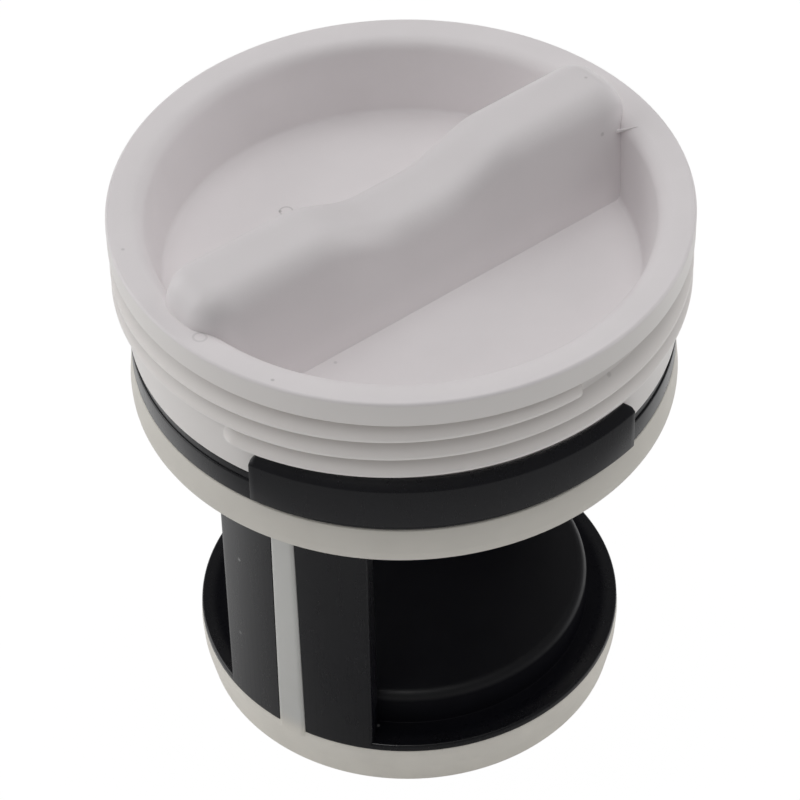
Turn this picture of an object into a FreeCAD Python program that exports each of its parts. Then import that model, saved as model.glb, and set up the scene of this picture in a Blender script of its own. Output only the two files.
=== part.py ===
import FreeCAD, Part
import math
import os

# Drain pump filter of a washing machine: a screw cap that turns on a filter insert with a moulded seal.
# Millimetres and degrees. The axis is Z, the base stands on z = 0, and -Y is the front of the photograph.

# Heights of the stack, from the base up
lower_seal_height = 6.1
disc_edge_height = 0.9
window_height = 37.95
upper_seal_height = 4.9
collar_height = 4.0
cap_height = 16.25
grip_rise = 3.7

# Clearances
turning_gap = 0.3
bond_gap = 0.05

# Rounded edges are eased by flats; small ones get a single bevel
flats_per_round = 2
bevel_limit = 1.0
grip_flats_per_round = 4

# Screw cap
rim_overhang = 1.5
rim_height = 3.35
rim_fall = 0.3
rim_edge_round = 0.8
skirt_radius = 31.5
skirt_wall = 2.2
socket_depth = 4.65
dish_floor_wall = 2.2
dish_side_wall = 4.2
dish_floor_round = 1.0
dish_lip_round = 1.5
mould_draft = 10.0

# Grip bar across the dish, with a dip in the middle for the fingers
grip_angle = 37.7
grip_base_width = 14.7
grip_overlap = 0.7
grip_dip = 3.1
grip_dip_length = 28.0
grip_dip_flat = 6.0
grip_draft = 13.5
grip_waist_draft = 4.0
grip_edge_round = 3.4
grip_end_round = 4.2
grip_end_drop = 6.5
grip_corner_round = 5.0
grip_root = 0.8

# Two-start thread on the skirt
thread_starts = 2
thread_pitch = 2.6
thread_depth = 1.45
thread_turn = 435.0
thread_run_out = 5.0
thread_end_angle = -54.0
thread_drop = 1.85
thread_root_width = 2.3
thread_land = 0.4
thread_undercut = 0.25
thread_root = 0.6
thread_end_slant = 32.0

# Neck of the insert, a plain plug held in the skirt by a snap bead
bead_height = 0.7
bead_width = 1.6

# Filter insert
collar_inset = 0.1
collar_step = 0.2
collar_step_height = 1.1
upper_seal_depth = 3.1
lug_angle = -80.8
lug_width = 81.5
lug_thickness = 1.2
lug_rise = 4.45
lug_drop = 1.95
lug_top_land = 0.1
lug_corner_bevel = 0.7
disc_inset = 2.6
upright_thickness = 3.8
upright_root = 1.6
boss_height = 4.95
boss_round = 0.9
boss_wall = 2.1
lower_seal_depth = 3.2
base_recess = 1.2
pillar_angle = -124.35
pillar_width = 47.3
pillar_edge_round = 0.4
back_wall_angle = 90.0
back_wall_width = 100.0

# Seal, moulded onto the insert in one shot: two rings joined by a strip down the pillar
upper_seal_squeeze = 0.3
upper_seal_round = 0.9
lower_seal_squeeze = 0.05
lower_seal_taper = 0.75
lower_seal_land = 2.6
lower_seal_round = 0.5
strip_angle = -124.1
strip_width = 3.1
strip_foot_width = 3.7
strip_depth = 1.2
strip_proud = 0.25
strip_edge_round = 0.6
runner_height = 1.5

# Levels that follow from the stack
disc_seat_z = lower_seal_height
disc_top_z = disc_seat_z + disc_edge_height
boss_top_z = disc_top_z + boss_height
flange_z = disc_top_z + window_height
collar_z = flange_z + upper_seal_height
collar_top_z = collar_z + collar_height
skirt_z = collar_top_z + turning_gap
rim_top_z = skirt_z + cap_height
rim_under_z = rim_top_z - rim_height
ceiling_z = skirt_z + socket_depth
dish_floor_z = ceiling_z + dish_floor_wall
grip_top_z = rim_top_z + grip_rise
neck_top_z = ceiling_z - turning_gap

# Radii that follow from the fits
rim_radius = skirt_radius + rim_overhang
collar_radius = skirt_radius - collar_inset
skirt_bore = skirt_radius - skirt_wall
neck_radius = skirt_bore - turning_gap
bead_radius = neck_radius + bead_height
bead_z = (collar_top_z + neck_top_z) / 2
groove_radius = bead_radius + turning_gap
groove_half = bead_width / 2 + turning_gap
upper_seal_radius = collar_radius + upper_seal_squeeze
upper_seal_bore = collar_radius - upper_seal_depth
disc_radius = upper_seal_bore - disc_inset
boss_radius = disc_radius - upright_thickness
lower_seal_radius = disc_radius + lower_seal_squeeze
lower_seal_bore = disc_radius - lower_seal_depth
lug_bore = skirt_radius + turning_gap
lug_radius = lug_bore + lug_thickness
dish_floor_radius = skirt_radius - dish_side_wall
dish_mouth_radius = dish_floor_radius + (rim_top_z - dish_floor_z) * math.tan(math.radians(mould_draft))

AXIS = FreeCAD.Vector(0, 0, 1)
ORIGIN = FreeCAD.Vector(0, 0, 0)


def half_plane(r, z):
    """Point of the half plane that is turned about the axis."""
    return FreeCAD.Vector(r, 0, z)


def corner_arcs(corners):
    """Start, middle and end of the tangent arc at each (u, v, rounding) corner of a closed outline."""
    arcs = []
    count = len(corners)
    for index, (u, v, rounding) in enumerate(corners):
        here = FreeCAD.Vector(u, v, 0)
        before = FreeCAD.Vector(*corners[index - 1][:2], 0)
        after = FreeCAD.Vector(*corners[(index + 1) % count][:2], 0)
        back = (before - here).normalize()
        ahead = (after - here).normalize()
        half_turn = back.getAngle(ahead) / 2
        reach = rounding / math.tan(half_turn)
        middle = here + (back + ahead).normalize() * (rounding / math.sin(half_turn) - rounding)
        arcs.append((here + back * reach, middle, here + ahead * reach, rounding))
    return arcs


def rounded_outline(corners, place):
    """Closed wire through (u, v, rounding) corners, with a tangent arc at each rounded one."""
    arcs = corner_arcs(corners)
    edges = []
    for index, (enter, middle, leave, rounding) in enumerate(arcs):
        if rounding:
            arc = Part.Arc(place(enter.x, enter.y), place(middle.x, middle.y), place(leave.x, leave.y))
            edges.append(arc.toShape())
        following = arcs[(index + 1) % len(arcs)][0]
        edges.append(Part.makeLine(place(leave.x, leave.y), place(following.x, following.y)))
    return Part.Wire(edges)


def eased_outline(corners, place, flats, limit=0):
    """Closed wire through (u, v, rounding) corners, with short flats along the arc of each rounded one."""
    points = []
    for enter, middle, leave, rounding in corner_arcs(corners):
        if rounding:
            arc = Part.Arc(enter, middle, leave)
            count = flats if rounding > limit else 1
            points += [place(p.x, p.y) for p in arc.discretize(count + 1)]
        else:
            points.append(place(enter.x, enter.y))
    return Part.makePolygon(points + points[:1])


def turned(corners, start=0.0, sweep=360.0):
    """Solid turned about the axis from a half-plane outline."""
    face = Part.Face(eased_outline(corners, half_plane, flats_per_round, bevel_limit))
    face.rotate(ORIGIN, AXIS, start)
    return face.revolve(ORIGIN, AXIS, sweep)


def ring_sector(inner, outer, low, high, centre, width):
    """Curved block between two radii and two heights, centred on an angle."""
    corners = [(inner, low, 0), (outer, low, 0), (outer, high, 0), (inner, high, 0)]
    return turned(corners, centre - width / 2, width)


def cap_body():
    """Rim, dish and skirt, with the groove for the snap bead inside the skirt."""
    inner_rim_z = rim_top_z - rim_fall
    corners = [
        (0, ceiling_z, 0),
        (0, dish_floor_z, 0),
        (dish_floor_radius, dish_floor_z, dish_floor_round),
        (dish_mouth_radius, inner_rim_z, dish_lip_round),
        (rim_radius, rim_top_z, rim_edge_round),
        (rim_radius, rim_under_z, 0),
        (skirt_radius, rim_under_z, 0),
        (skirt_radius, skirt_z, 0),
        (skirt_bore, skirt_z, 0),
        (skirt_bore, bead_z - groove_half, 0),
        (groove_radius, bead_z - groove_half, 0),
        (groove_radius, bead_z + groove_half, 0),
        (skirt_bore, bead_z + groove_half, 0),
        (skirt_bore, ceiling_z, 0),
    ]
    return turned(corners)


def quarter_round(distance, length, drop):
    """How far a quarter ellipse has fallen at a distance past its start."""
    share = min(max(distance, 0) / length, 1)
    return drop * (1 - math.sqrt(1 - share ** 2))


def grip_section(station, reach):
    """Section of the grip bar across its length: drafted sides and a rounded, dipping top."""
    dip_slope = (grip_dip_length - grip_dip_flat) / 2
    dip_phase = min(max(abs(station) - grip_dip_flat / 2, 0) / dip_slope, 1.0)
    dip_share = (1 + math.cos(math.pi * dip_phase)) / 2
    end_fall = quarter_round(abs(station) - (reach - grip_end_round), grip_end_round, grip_end_drop)
    corner_start = reach - grip_corner_round
    side_fall = quarter_round(abs(station) - corner_start, grip_corner_round, grip_corner_round)
    slope = math.tan(math.radians(grip_draft + grip_waist_draft * dip_share))
    top_z = grip_top_z - grip_dip * dip_share - end_fall
    base_z = dish_floor_z - grip_root
    foot = grip_base_width / 2 + grip_root * slope - side_fall
    shoulder = grip_base_width / 2 - (top_z - dish_floor_z) * slope - side_fall
    edge_round = grip_edge_round * shoulder / (shoulder + side_fall)
    corners = [
        (-foot, base_z, 0),
        (foot, base_z, 0),
        (shoulder, top_z, edge_round),
        (-shoulder, top_z, edge_round),
    ]
    return eased_outline(corners, lambda across, z: FreeCAD.Vector(station, across, z), grip_flats_per_round)


def grip_bar():
    """Bar lofted along its length, with rounded ends that lap over the inner edge of the rim."""
    reach = dish_mouth_radius + dish_lip_round + grip_overlap
    straight = reach - max(grip_end_round, grip_corner_round)
    middle_count = 10
    end_angles = (20, 35, 50, 62, 72, 81, 90)
    stations = [straight * index / middle_count for index in range(middle_count + 1)]
    stations += [straight + (reach - straight) * math.sin(math.radians(angle)) for angle in end_angles]
    stations = [-station for station in reversed(stations[1:])] + stations
    bar = Part.makeLoft([grip_section(station, reach) for station in stations], True, True)
    bar.rotate(ORIGIN, AXIS, grip_angle)
    return bar


def thread_section(angle, edge_z, depth):
    """Saw-tooth section of a thread ridge: long upper flank, short land, undercut below."""
    root = skirt_radius - thread_root
    crest = skirt_radius + depth
    corners = [
        (root, edge_z - thread_undercut, 0),
        (crest, edge_z, 0),
        (crest, edge_z + thread_land, 0),
        (root, edge_z + thread_root_width, 0),
    ]
    section = eased_outline(corners, half_plane, flats_per_round)
    section.rotate(ORIGIN, AXIS, angle)
    return section


def slanted_cutter(angle, edge_z, slant, size):
    """Block whose face leans by the slant and passes through the radius at an angle and height."""
    cutter = Part.makeBox(2 * rim_radius, size, 4 * size, FreeCAD.Vector(0, 0, -2 * size))
    cutter.rotate(ORIGIN, FreeCAD.Vector(1, 0, 0), slant)
    cutter.translate(FreeCAD.Vector(0, 0, edge_z))
    cutter.rotate(ORIGIN, AXIS, angle)
    return cutter


def thread_ridge(end_angle):
    """One ridge: it grows out of the skirt, climbs, and ends bluntly under the rim."""
    lead = thread_starts * thread_pitch
    end_z = rim_under_z - thread_drop
    step_count = 58
    sections = []
    for step in range(step_count + 1):
        turn = thread_turn * step / step_count
        edge_z = end_z - lead * (thread_turn - turn) / 360
        growth = min(turn / thread_run_out, 1.0)
        sections.append(thread_section(end_angle - thread_turn + turn, edge_z, thread_depth * growth))
    ridge = Part.makeLoft(sections, True, True)
    cutter = slanted_cutter(end_angle, end_z + thread_root_width, -thread_end_slant, lead)
    top_turn = Part.makeCylinder(2 * rim_radius, lead, FreeCAD.Vector(0, 0, end_z - thread_pitch / 2))
    return ridge.cut(cutter.common(top_turn))


def screw_cap():
    """Cap with its grip bar and both thread ridges, moulded as one piece."""
    ridges = [thread_ridge(thread_end_angle + 360 * start / thread_starts) for start in range(thread_starts)]
    return cap_body().fuse([grip_bar()] + ridges).removeSplitter()


def insert_head():
    """Flange, collar and neck of the insert."""
    corners = [
        (0, flange_z, 0),
        (upper_seal_bore, flange_z, 0),
        (upper_seal_bore, collar_z, 0),
        (collar_radius, collar_z, 0),
        (collar_radius, collar_top_z - collar_step_height, 0),
        (collar_radius - collar_step, collar_top_z - collar_step_height, 0),
        (collar_radius - collar_step, collar_top_z, 0),
        (neck_radius, collar_top_z, 0),
        (neck_radius, bead_z - bead_width / 2, 0),
        (bead_radius, bead_z, 0),
        (neck_radius, bead_z + bead_width / 2, 0),
        (neck_radius, neck_top_z, 0),
        (0, neck_top_z, 0),
    ]
    return turned(corners)


def key_lug():
    """Raised key on the collar that stands outside the skirt and lines the insert up."""
    low = collar_top_z - lug_drop
    high = collar_top_z + lug_rise
    root = neck_radius
    corners = [
        (root, low, 0),
        (lug_radius, low, 0),
        (lug_radius, high - lug_thickness + lug_top_land, 0),
        (lug_bore + lug_top_land, high, 0),
        (lug_bore, high, 0),
        (lug_bore, collar_top_z, 0),
        (root, collar_top_z, 0),
    ]
    lug = turned(corners, lug_angle - lug_width / 2, lug_width)
    bevel_turn = math.degrees(lug_corner_bevel / lug_radius)
    right = slanted_cutter(lug_angle + lug_width / 2 - bevel_turn, high, 45, lug_rise)
    left = slanted_cutter(lug_angle - lug_width / 2 + bevel_turn, high, 135, lug_rise)
    return lug.cut([left, right])


def lower_disc():
    """Disc with a raised round boss, hollow from below."""
    corners = [
        (0, boss_top_z - boss_wall, 0),
        (boss_radius - boss_wall, boss_top_z - boss_wall, 0),
        (boss_radius - boss_wall, base_recess, 0),
        (lower_seal_bore, base_recess, 0),
        (lower_seal_bore, disc_seat_z, 0),
        (disc_radius, disc_seat_z, 0),
        (disc_radius, disc_top_z, 0),
        (boss_radius, disc_top_z, 0),
        (boss_radius, boss_top_z, boss_round),
        (0, boss_top_z, 0),
    ]
    return turned(corners)


def upright_wall(centre, width):
    """Curved wall from the disc to the flange, flush with the disc, with its outer edges eased."""
    wall = ring_sector(boss_radius, disc_radius, disc_seat_z, flange_z + upright_root, centre, width)
    height = flange_z + upright_root - disc_seat_z
    outer_edges = []
    for edge in wall.Edges:
        middle = edge.CenterOfMass
        on_outside = math.hypot(middle.x, middle.y) > disc_radius - pillar_edge_round
        if on_outside and abs(edge.Length - height) < pillar_edge_round:
            outer_edges.append(edge)
    return wall.makeFillet(pillar_edge_round, outer_edges)


def strip_block(stations, outer, edge_round, gap):
    """Straight block lofted up through (height, width) stations, with rounded outer edges."""
    inner = disc_radius - strip_depth - gap
    sections = []
    for z, width in stations:
        half = width / 2 + gap
        corners = [(inner, -half, 0), (outer, -half, edge_round), (outer, half, edge_round), (inner, half, 0)]
        sections.append(rounded_outline(corners, lambda r, across: FreeCAD.Vector(r, across, z)))
    block = Part.makeLoft(sections, True, True)
    block.rotate(ORIGIN, AXIS, strip_angle)
    return block


def seal_strip(gap, edge_round):
    """Strip down the pillar and its runner to the upper ring, grown by a gap for its channel."""
    foot_z = disc_seat_z - bond_gap
    top_z = flange_z + runner_height + gap
    strip_ends = [(foot_z, strip_foot_width), (top_z, strip_width)]
    strip = strip_block(strip_ends, disc_radius + strip_proud, edge_round, gap)
    runner_ends = [(flange_z, strip_width), (top_z, strip_width)]
    runner = strip_block(runner_ends, upper_seal_bore + upper_seal_depth / 2, 0, gap)
    return strip.fuse(runner).removeSplitter()


def filter_insert():
    """Insert: head, key, upright walls and lower disc, with the channel for the seal strip."""
    pieces = [
        key_lug(),
        lower_disc(),
        upright_wall(pillar_angle, pillar_width),
        upright_wall(back_wall_angle, back_wall_width),
    ]
    return insert_head().fuse(pieces).cut(seal_strip(bond_gap, 0)).removeSplitter()


def upper_ring():
    """Upper sealing ring, set against the flange and under the collar."""
    corners = [
        (upper_seal_bore + bond_gap, flange_z, 0),
        (upper_seal_radius, flange_z, upper_seal_round),
        (upper_seal_radius, collar_z - bond_gap, 0),
        (upper_seal_bore + bond_gap, collar_z - bond_gap, 0),
    ]
    return turned(corners)


def lower_ring():
    """Lower sealing ring: a straight land under the disc, then a taper down to the base."""
    corners = [
        (lower_seal_bore + bond_gap, 0, 0),
        (lower_seal_radius - lower_seal_taper, 0, lower_seal_round),
        (lower_seal_radius, disc_seat_z - lower_seal_land, 0),
        (lower_seal_radius, disc_seat_z - bond_gap, 0),
        (lower_seal_bore + bond_gap, disc_seat_z - bond_gap, 0),
    ]
    return turned(corners)


def seal():
    """Both sealing rings and the strip between them, one soft moulding."""
    return upper_ring().fuse([lower_ring(), seal_strip(0, strip_edge_round)]).removeSplitter()


def main():
    os.makedirs("parts", exist_ok=True)
    for make in (screw_cap, filter_insert, seal):
        shape = make()
        solids = shape.Solids
        print(make.__name__, "solids", len(solids), "valid", shape.isValid(), "volume", round(shape.Volume, 1))
        solids[0].exportStep(os.path.join("parts", make.__name__ + ".step"))


main()
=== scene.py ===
"""Washer pump filter: a pale screw cap that turns on a black filter insert with a cream moulded seal."""

import math

import bmesh
import bpy
from mathutils import Matrix, Vector


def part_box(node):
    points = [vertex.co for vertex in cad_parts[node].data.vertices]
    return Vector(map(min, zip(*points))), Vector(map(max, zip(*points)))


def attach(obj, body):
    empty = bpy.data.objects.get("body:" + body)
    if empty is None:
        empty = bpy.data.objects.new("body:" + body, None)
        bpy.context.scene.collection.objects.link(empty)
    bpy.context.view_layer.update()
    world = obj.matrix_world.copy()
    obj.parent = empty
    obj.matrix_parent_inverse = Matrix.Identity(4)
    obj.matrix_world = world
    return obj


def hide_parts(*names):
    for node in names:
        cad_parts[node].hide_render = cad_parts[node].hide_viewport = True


bl_info = {
    "name": "Washer pump filter",
    "version": (1, 0, 0),
    "blender": (4, 5, 0),
    "location": "3D View > Sidebar > Pump filter",
    "description": "Dresses the packed pump filter with smooth moulded pieces and their plastics",
    "category": "Object",
}

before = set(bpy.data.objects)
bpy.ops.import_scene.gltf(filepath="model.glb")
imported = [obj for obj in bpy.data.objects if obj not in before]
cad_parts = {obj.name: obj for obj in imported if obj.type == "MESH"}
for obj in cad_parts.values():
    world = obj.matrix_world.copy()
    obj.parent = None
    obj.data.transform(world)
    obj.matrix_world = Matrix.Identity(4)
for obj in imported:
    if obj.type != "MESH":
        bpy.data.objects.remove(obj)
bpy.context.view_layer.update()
CAP_LOW, CAP_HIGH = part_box("screw_cap")
INSERT_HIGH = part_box("filter_insert")[1]

MM = 0.001
WELD = 2e-7
ANGLE_TOLERANCE = 1e-6
AXIS = Vector((0, 0, 1))
CENTRE = Vector((0, 0, 0))
WHITE = (1.0, 1.0, 1.0, 1.0)

# How finely the curves are divided
TURN_STEPS = 192
WALL_STEPS = 48
LUG_STEPS = 64
ROUND_STEPS = 6
UPRIGHT_ROUND_STEPS = 5
LUG_ROUND_STEPS = 2
GRIP_STRAIGHT_STEPS = 44
GRIP_CORNER_STEPS = 18
GRIP_ARC_STEPS = 10
GRIP_SIDE_STEPS = 6
GRIP_TOP_STEPS = 6
RUN_OUT_STEPS = 10
RIDGE_STEPS = 220
FIN_SIDES = 8

# Edges that bend by more than these angles are shaded sharp, or can be rounded
SHARP_ANGLE = math.radians(32)
ROUNDED_ANGLE = math.radians(25)

# Easing of the cap's edges and of the thread's crest, and the share of its depth a ridge starts with
CAP_EDGE = 0.2 * MM
CREST_EDGE = 0.12 * MM
RIDGE_START = 0.05

# Sliver of moulding flash: its two ends and their radii
FIN_START = Vector((24.7, 12.95, 68.75)) * MM
FIN_TIP = Vector((27.3, 12.1, 70.15)) * MM
FIN_START_RADIUS = 0.26 * MM
FIN_TIP_RADIUS = 0.03 * MM

# Small sizes of the insert
INSERT_EDGE = 0.15 * MM
LUG_EDGE = 0.12 * MM
LUG_ROOT = 1.0 * MM
LUG_SINK = 0.05 * MM
LUG_CUT_REACH = 12 * MM
UPRIGHT_TOLERANCE = 0.1 * MM
CHANNEL_GAP = 0.05 * MM

# Small sizes of the seal
SEAL_EDGE = 0.1 * MM
UPPER_FOOT_ROUND = 0.8 * MM
UPPER_BELLY = 0.08 * MM
UPPER_BELLY_HEIGHT = 1.5 * MM
UPPER_BELLY_ROUND = 1.5 * MM
UPPER_TAPER = 0.25 * MM
LOWER_FOOT_ROUND = 0.5 * MM
LOWER_BELLY_HEIGHT = 3.3 * MM
LOWER_BELLY_ROUND = 2.0 * MM
LOWER_TAPER = 0.12 * MM
LOWER_SHOULDER = 0.8 * MM
LOWER_SHOULDER_ROUND = 0.4 * MM
STRIP_SINK = 0.6 * MM
RUNNER_HEIGHT = 1.5 * MM
RUNNER_REACH = 1.5 * MM
RUNNER_INSET = 0.02 * MM

# Sockets of the Mix node that carry colours
MIX_FACTOR = 0
MIX_FIRST = 6
MIX_SECOND = 7
MIX_RESULT = 2

# Wear marks, placed by a ray test of photo points and rounded: x, y, z, ring radius, width (mm), strength
CAP_MARKS = [
    (21.5, 16.3, 74.0, 0.0, 0.5, 0.25),
    (23.2, 11.3, 69.8, 0.0, 0.6, 0.25),
    (-14.0, -28.7, 70.3, 0.0, 0.5, 0.3),
    (-30.7, -7.2, 70.3, 0.0, 0.5, 0.2),
    (-7.6, -16.3, 61.0, 0.0, 0.5, 0.2),
    (22.1, -22.7, 64.3, 0.0, 0.7, 0.2),
    (-21.9, -21.7, 69.7, 0.9, 0.25, 0.15),
    (-13.9, 9.4, 61.0, 0.0, 0.5, 0.3),
    (-13.2, 9.4, 61.0, 0.75, 0.25, 0.25),
]
INSERT_MARKS = [
    (-20.2, -15.9, 17.0, 0.0, 0.6, 0.5),
    (-19.7, -16.5, 30.2, 0.0, 0.6, 0.8),
    (-4.1, -22.3, 7.0, 0.0, 0.5, 0.8),
]

# Soft lamps: name, place and side in metres, power setting, seen in reflections, lights the part
LAMPS = [
    ("top_softbox", (0.0, 0.1, 1.15), 1.0, "top_power", True, True),
    ("back_softbox", (0.0, 0.5, 1.15), 0.9, "back_power", False, True),
    ("left_softbox", (-0.97, 0.26, 0.42), 0.8, "left_power", True, True),
    ("right_softbox", (0.9, 0.42, 0.38), 0.8, "right_power", False, True),
    ("front_softbox", (-0.1, -0.62, 1.15), 0.5, "front_power", False, True),
    ("glint_lamp", (-0.25, -0.42, 1.15), 0.3, "glint_power", True, False),
]
LAMP_AIM = Vector((0.0, 0.0, 0.05))

# Camera: width of its sensor in millimetres, and the range that it sees in metres
SENSOR_WIDTH = 36.0
CLIP_START = 0.01
CLIP_END = 20.0


def length(name, description, millimetres):
    """Property for a length, with its default in millimetres."""
    return bpy.props.FloatProperty(
        name=name, description=description, default=millimetres * MM, unit="LENGTH", precision=5
    )


def angle(name, description, degrees):
    """Property for an angle, with its default in degrees."""
    return bpy.props.FloatProperty(
        name=name, description=description, default=math.radians(degrees), unit="ROTATION"
    )


def colour(name, description, value):
    """Property for a linear colour."""
    return bpy.props.FloatVectorProperty(
        name=name, description=description, default=value, subtype="COLOR", size=3, min=0.0, max=1.0
    )


def amount(name, description, value):
    """Property for a plain number."""
    return bpy.props.FloatProperty(name=name, description=description, default=value, precision=4)


class CapSizes(bpy.types.PropertyGroup):
    """Sizes of the screw cap."""

    rim_radius: length("Rim radius", "Outside of the rim", CAP_HIGH.x / MM)
    rim_top: length("Rim top", "Height of the rim's upper edge", 70.4)
    rim_height: length("Rim height", "Band of the rim above the thread", 3.35)
    rim_fall: length("Rim fall", "How far the rim falls towards the dish", 0.3)
    rim_round: length("Rim round", "Rounding of the rim's outer edge", 0.4)
    skirt_radius: length("Skirt radius", "Outside of the skirt under the thread", 31.5)
    skirt_wall: length("Skirt wall", "Thickness of the skirt", 2.2)
    skirt_bottom: length("Skirt bottom", "Height of the skirt's lower edge", CAP_LOW.z / MM)
    floor_height: length("Dish floor", "Height of the dish floor", 61.0)
    floor_radius: length("Dish floor radius", "Flat part of the dish", 27.3)
    floor_wall: length("Floor wall", "Thickness of the dish floor", 2.2)
    floor_round: length("Floor round", "Rounding between floor and wall", 0.5)
    lip_round: length("Lip round", "Rounding of the dish's mouth", 1.9)
    groove_radius: length("Groove radius", "Groove for the snap bead", 30.0)
    groove_low: length("Groove low", "Lower edge of the groove", 55.08)
    groove_high: length("Groove high", "Upper edge of the groove", 57.27)
    draft: angle("Draft", "Lean of the dish wall", 10.0)


class GripSizes(bpy.types.PropertyGroup):
    """Sizes of the finger grip bar."""

    turn: angle("Turn", "Direction of the bar in plan", 37.7)
    base_width: length("Base width", "Width of the bar on the dish floor", 14.7)
    reach: length("Reach", "Half length of the bar", 31.1)
    top: length("Top", "Height of the bar's ends", CAP_HIGH.z / MM)
    dip: length("Dip", "Depth of the finger dip", 3.1)
    dip_reach: length("Dip reach", "Half length of the finger dip", 14.0)
    dip_flat: length("Dip flat", "Half length of the dip's flat bottom", 3.0)
    draft: angle("Draft", "Lean of the sides", 13.5)
    waist_draft: angle("Waist draft", "Extra lean of the sides at the dip", 4.0)
    edge_round: length("Edge round", "Rounding along the top", 3.4)
    end_round: length("End round", "Length of the rounded ends, seen from the side", 4.2)
    end_drop: length("End drop", "How far the rounded ends fall", 6.5)
    corner_round: length("Corner round", "Rounding of the ends, seen from above", 5.0)


class ThreadSizes(bpy.types.PropertyGroup):
    """Sizes of the thread on the skirt."""

    starts: bpy.props.IntProperty(name="Starts", description="Ridges side by side", default=2)
    lead: length("Lead", "Climb of one ridge in a full turn", 5.2)
    depth: length("Depth", "How far a ridge stands out", 1.45)
    root: length("Root", "How far a ridge sinks into the skirt", 0.6)
    sweep: angle("Sweep", "Length of one ridge round the skirt", 435.0)
    run_out: angle("Run-out", "Stretch over which a ridge grows", 4.5)
    end_turn: angle("End", "Where the first ridge ends", -54.0)
    end_height: length("End height", "Lower edge of a ridge at its end", 65.2)
    end_slant: angle("End slant", "Lean of the blunt end", 32.0)
    width: length("Width", "Height of a ridge at its root", 2.3)
    land: length("Land", "Flat along the crest", 0.4)
    undercut: length("Undercut", "Lean of the lower flank", 0.25)


class InsertSizes(bpy.types.PropertyGroup):
    """Sizes of the filter insert."""

    flange_height: length("Flange", "Height of the flange's underside", 44.95)
    upright_root: length("Upright root", "How far the walls reach into the flange", 1.6)
    core_radius: length("Core radius", "Inside of the upper seal ring", 28.3)
    collar_low: length("Collar low", "Lower edge of the collar", 49.85)
    collar_step: length("Collar step", "Height where the collar steps in", 52.75)
    collar_top: length("Collar top", "Upper edge of the collar", 53.85)
    collar_radius: length("Collar radius", "Outside of the collar", 31.4)
    collar_inner: length("Collar step radius", "Outside of the collar above its step", 31.2)
    neck_radius: length("Neck radius", "Outside of the neck", 29.0)
    neck_top: length("Neck top", "Upper edge of the neck", 58.5)
    bead_height: length("Bead height", "How far the snap bead stands out", 0.7)
    bead_width: length("Bead width", "Width of the snap bead", 1.6)
    lug_turn: angle("Lug direction", "Middle of the key lug", -80.8)
    lug_sweep: angle("Lug sweep", "Length of the key lug round the collar", 81.5)
    lug_low: length("Lug low", "Lower edge of the key lug", 51.9)
    lug_top: length("Lug top", "Upper edge of the key lug", INSERT_HIGH.z / MM - 0.2)
    lug_inner: length("Lug inside", "Inside of the key lug", 31.8)
    lug_outer: length("Lug outside", "Outside of the key lug", 33.0)
    lug_land: length("Lug land", "Flat on top of the key lug", 0.1)
    lug_bevel: length("Lug bevel", "Cut corners of the key lug", 0.7)
    disc_radius: length("Disc radius", "Outside of the lower disc", 25.7)
    disc_low: length("Disc low", "Underside of the disc's edge", 6.1)
    disc_top: length("Disc top", "Upper side of the disc's edge", 7.0)
    boss_radius: length("Boss radius", "Outside of the raised boss", 21.9)
    boss_top: length("Boss top", "Upper side of the boss", 11.95)
    boss_round: length("Boss round", "Rounding of the boss's edge", 1.2)
    boss_wall: length("Boss wall", "Wall of the boss", 2.1)
    foot_radius: length("Foot radius", "Inside of the lower seal ring", 22.5)
    foot_low: length("Foot low", "Lower edge of the disc's foot", 1.2)
    pillar_turn: angle("Pillar direction", "Middle of the front pillar", -124.35)
    pillar_sweep: angle("Pillar sweep", "Width of the front pillar", 47.3)
    back_turn: angle("Back wall direction", "Middle of the back wall", 90.0)
    back_sweep: angle("Back wall sweep", "Width of the back wall", 100.0)
    edge_round: length("Edge round", "Rounding of upright edges", 0.45)


class SealSizes(bpy.types.PropertyGroup):
    """Sizes of the seal."""

    upper_low: length("Upper ring low", "Lower side of the upper ring", 44.95)
    upper_high: length("Upper ring high", "Upper side of the upper ring", 49.8)
    upper_inner: length("Upper ring inside", "Inside of the upper ring", 28.35)
    upper_outer: length("Upper ring outside", "Widest part of the upper ring", 31.7)
    lower_high: length("Lower ring high", "Upper side of the lower ring", 6.05)
    lower_inner: length("Lower ring inside", "Inside of the lower ring", 22.55)
    lower_outer: length("Lower ring outside", "Widest part of the lower ring", 25.8)
    lower_foot: length("Lower ring foot", "Outside of the lower ring at the base", 25.0)
    strip_turn: angle("Strip direction", "Middle of the strip", -124.1)
    strip_width: length("Strip width", "Width of the strip at its top", 3.1)
    strip_foot: length("Strip foot", "Width of the strip at its foot", 3.7)
    strip_depth: length("Strip depth", "How deep the strip lies in the pillar", 1.2)
    strip_proud: length("Strip proud", "How far the strip stands out", 0.25)
    strip_round: length("Strip round", "Rounding of the strip's edges", 0.6)


class Finishes(bpy.types.PropertyGroup):
    """Colours of the plastics."""

    cap: colour("Cap", "Pale satin plastic of the cap", (0.835, 0.797, 0.806))
    skirt: colour("Skirt", "The cap's outside, a little warmer", (0.84, 0.808, 0.787))
    insert: colour("Insert", "Black plastic of the insert", (0.006, 0.006, 0.0085))
    strip: colour("Strip", "The seal's strip, where it is rubbed whiter", (0.66, 0.66, 0.64))
    seal: colour("Seal", "Cream soft plastic of the seal", (0.74, 0.71, 0.65))
    wear: colour("Wear", "Dark specks and marks on the cap", (0.12, 0.11, 0.105))
    dust: colour("Dust", "Dust and rubbed spots on the insert", (0.2, 0.2, 0.2))


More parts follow.
